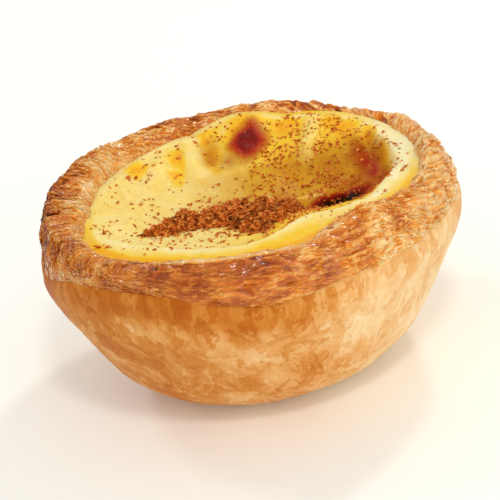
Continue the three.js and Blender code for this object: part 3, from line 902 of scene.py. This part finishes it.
# The heap's middle line and half-width, in millimetres, at places along x.
HEAP_X = [-18.2, -15, -12.4, -8.5, -5, -3, -1, 2, 4, 6, 8, 10, 12]
HEAP_Y = [-7.3, -4.2, -2.4, -1.8, -1.7, -2.6, -4.6, -5.2, -4.8, -3.8, -2.4, -1.6, -0.8]
HEAP_HALF = [0.2, 2.0, 2.7, 2.9, 3.3, 4.6, 7.0, 7.8, 6.2, 4.4, 2.4, 1.3, 0.4]


def clump(x, y):
    """Rounded clumps, 0 in the gaps between them."""
    return abs(speckle(x, y, 3, 1.7)) + 0.4 * abs(speckle(x, y, 8, 0.8))


def heap_rise(x, y):
    """How high the heap stands over the custard here, below 0 outside it."""
    half = float(np.interp(x, HEAP_X, HEAP_HALF))
    aside = (y - float(np.interp(x, HEAP_X, HEAP_Y))) / half
    torn = 0.9 * speckle(x, y, 5, 2.4) + 0.9 * speckle(x, y, 9, 1.2)
    body = 1 - aside * aside + torn
    return min(1.2, 0.35 + 0.28 * half) * body - 0.45 + 1.6 * clump(x, y) + 0.3 * speckle(x, y, 3, 0.7)


cinnamon_bark, nodes, links = new_material("cinnamon bark")
shader = nodes["Principled BSDF"]
place = nodes.new("ShaderNodeTexCoord").outputs["Object"]
tint = cloud(nodes, links, place, (1.6, 1.6, 1.6), Detail=4.0, Roughness=0.7)
bark = shades(nodes, [(0.34, (130, 48, 8)), (0.49, (206, 98, 22)), (0.66, (255, 184, 92))])
links.new(tint, bark.inputs["Fac"])
# Splinters with a low stand are multiplied darker: painted shade in the gaps between clumps.
gaps = shades(nodes, [(0.0, (70, 40, 30)), (1.0, (255, 255, 255))])
links.new(attribute(nodes, "stand"), gaps.inputs["Fac"])
shaded_bark = mixed(nodes, links, 1.0, bark.outputs["Color"], gaps.outputs["Color"], "MULTIPLY")
links.new(shaded_bark, shader.inputs["Base Color"])
set_sockets(shader, Roughness=0.7, Specular_IOR_Level=0.1)

# The body of the heap: a sheet laid over it, which dips into the custard all round.
bpy.ops.mesh.primitive_grid_add(x_subdivisions=150, y_subdivisions=90, size=1)
heap_core = bpy.context.object
heap_core.name = heap_core.data.name = "cinnamon_core"
for vertex in heap_core.data.vertices:
    x = CORE_MIDDLE[0] + CORE_SIZE[0] * vertex.co.x
    y = CORE_MIDDLE[1] + CORE_SIZE[1] * vertex.co.y
    rise = max(-CORE_THICKNESS, heap_rise(x, y) - 0.1)
    vertex.co = Vector((x, y, custard_top(x, y) + rise)) * MM
# Painted shade: the sheet is painted darker where it shows in the gaps between clumps, and never as light as
# the grains on top.
heap_stand = heap_core.data.attributes.new("stand", "FLOAT", "POINT")
for vertex in heap_core.data.vertices:
    heap_stand.data[vertex.index].value = min(0.6, 1.6 * clump(vertex.co.x / MM, vertex.co.y / MM))
thick = heap_core.modifiers.new("thick", "SOLIDIFY")
thick.thickness = CORE_THICKNESS * MM
thick.offset = -1
bpy.ops.object.modifier_apply(modifier="thick")
bpy.ops.object.shade_smooth()
heap_core.data.materials.append(cinnamon_bark)
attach(heap_core, "root")
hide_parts("custard")

OCTAHEDRON = np.array([(1, 0, 0), (-1, 0, 0), (0, 1, 0), (0, -1, 0), (0, 0, 1), (0, 0, -1)], float)
OCTAHEDRON_FACES = [(0, 2, 4), (2, 1, 4), (1, 3, 4), (3, 0, 4), (2, 0, 5), (1, 2, 5), (3, 1, 5), (0, 3, 5)]


def grains(name, places, seed):
    """Splinters of bark at places, each (x, y, z, size, stand) in millimetres, as one mesh. A low stand
    paints a splinter darker, as shade in a gap of the heap.
    """
    draw = random.Random(seed)
    points, faces, stands = [], [], []
    for x, y, z, size, stand in places:
        shape = np.array([(1 + 0.5 * draw.uniform(-1, 1)) for _ in range(6)])[:, None] * OCTAHEDRON
        shape *= np.array((size * draw.uniform(0.9, 1.9), size * 0.78, size * draw.uniform(0.3, 0.65)))
        tilt = Euler((draw.uniform(-0.7, 0.7), draw.uniform(-0.7, 0.7), draw.uniform(0, 6.3)))
        turn = np.array(tilt.to_matrix())
        start = len(points)
        stands.extend([stand] * 6)
        points.extend((shape @ turn.T + np.array((x, y, z))) * MM)
        faces.extend(tuple(start + i for i in face) for face in OCTAHEDRON_FACES)
    mesh = bpy.data.meshes.new(name)
    mesh.from_pydata(points, [], faces)
    mesh.attributes.new("stand", "FLOAT", "POINT").data.foreach_set("value", stands)
    piece = bpy.data.objects.new(name, mesh)
    bpy.context.collection.objects.link(piece)
    mesh.materials.append(cinnamon_bark)
    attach(piece, "root")
    return piece


draw = random.Random(11)
heap_places = []
while len(heap_places) < HEAP_GRAINS:
    x, y = draw.uniform(-18.5, 14), draw.uniform(-14, 5)
    rise = heap_rise(x, y)
    if rise < -0.05 - 0.3 * draw.random() ** 2:
        continue
    size = 0.12 + 0.36 * draw.random() ** 2
    # Grains in the gaps get a low stand, which paints them darker as shade.
    stand = min(1, max(0, 2.4 * clump(x, y) + 0.15 + 0.3 * draw.uniform(-1, 1)))
    if rise > 0.1 and stand < 0.3 and draw.random() < 0.5:
        continue
    heap_places.append((x, y, custard_top(x, y) + max(0, rise) + size * 0.3, size, stand))
grains("cinnamon_heap", heap_places, 12)

speck_places = []
while len(speck_places) < SPECKS:
    x, y = draw.uniform(-27, 30), draw.uniform(-22, 31)
    if math.hypot(x, y) > custard_edge(math.atan2(y, x)) - 0.5:
        continue
    chance = 0.1 + 0.9 * dip(x, y, 14, 9, 15, 14, 1) + 0.35 * dip(x, y, -2, -5, 20, 12, 1)
    chance += 0.25 * dip(x, y, 6, 22, 20, 8, 1)
    chance += 0.5 * dip(x, y, 20, -3, 10, 11, 1) + 0.8 * dip(x, y, 9, -8, 7, 6, 1)
    chance *= (0.75 + 0.6 * speckle(x, y, 6, 4)) * (1 - 0.8 * min(1, 2 * blister(x, y)))
    if draw.random() < chance:
        size = 0.14 + 0.32 * draw.random() ** 1.5
        speck_places.append((x, y, custard_top(x, y) + size * 0.15, size, draw.uniform(0.9, 1)))
grains("cinnamon_specks", speck_places, 13)


# --- Setting: a plain pale floor under soft studio light from the right. ---
FLOOR_GAP = 0.02
bpy.ops.mesh.primitive_plane_add(size=6, location=(0, 0, -FLOOR_GAP * MM))
floor = bpy.context.object
floor.name = "floor"
floor_paper, nodes, links = new_material("floor paper")
set_sockets(nodes["Principled BSDF"], Base_Color=colour(252, 253, 247), Roughness=0.8,
            Emission_Color=colour(252, 250, 238), Emission_Strength=0.07)
floor.data.materials.append(floor_paper)


def lamp(name, place, width, power):
    """A round soft lamp, turned towards the tart."""
    data = bpy.data.lights.new(name, "AREA")
    data.shape = "DISK"
    data.size = width
    data.energy = power
    data.color = (1, 0.99, 0.97)
    lamp_object = bpy.data.objects.new(name, data)
    bpy.context.collection.objects.link(lamp_object)
    lamp_object.location = place
    lamp_object.rotation_euler = (Vector((0, 0, 0.02)) - Vector(place)).to_track_quat("-Z", "Y").to_euler()


lamp("back right", (0.28, 0.38, 0.55), 0.09, 0.95)
lamp("back left", (-0.35, 0.3, 0.5), 0.12, 0.5)
lamp("front", (0.38, -0.72, 0.27), 0.8, 2.2)
lamp("overhead", (0.08, -0.45, 0.62), 0.11, 1.0)
world = bpy.data.worlds.new("studio")
world.use_nodes = True
set_sockets(world.node_tree.nodes["Background"], Color=(1, 0.995, 0.985, 1), Strength=0.6)
bpy.context.scene.world = world
bpy.context.scene.view_settings.view_transform = "Standard"
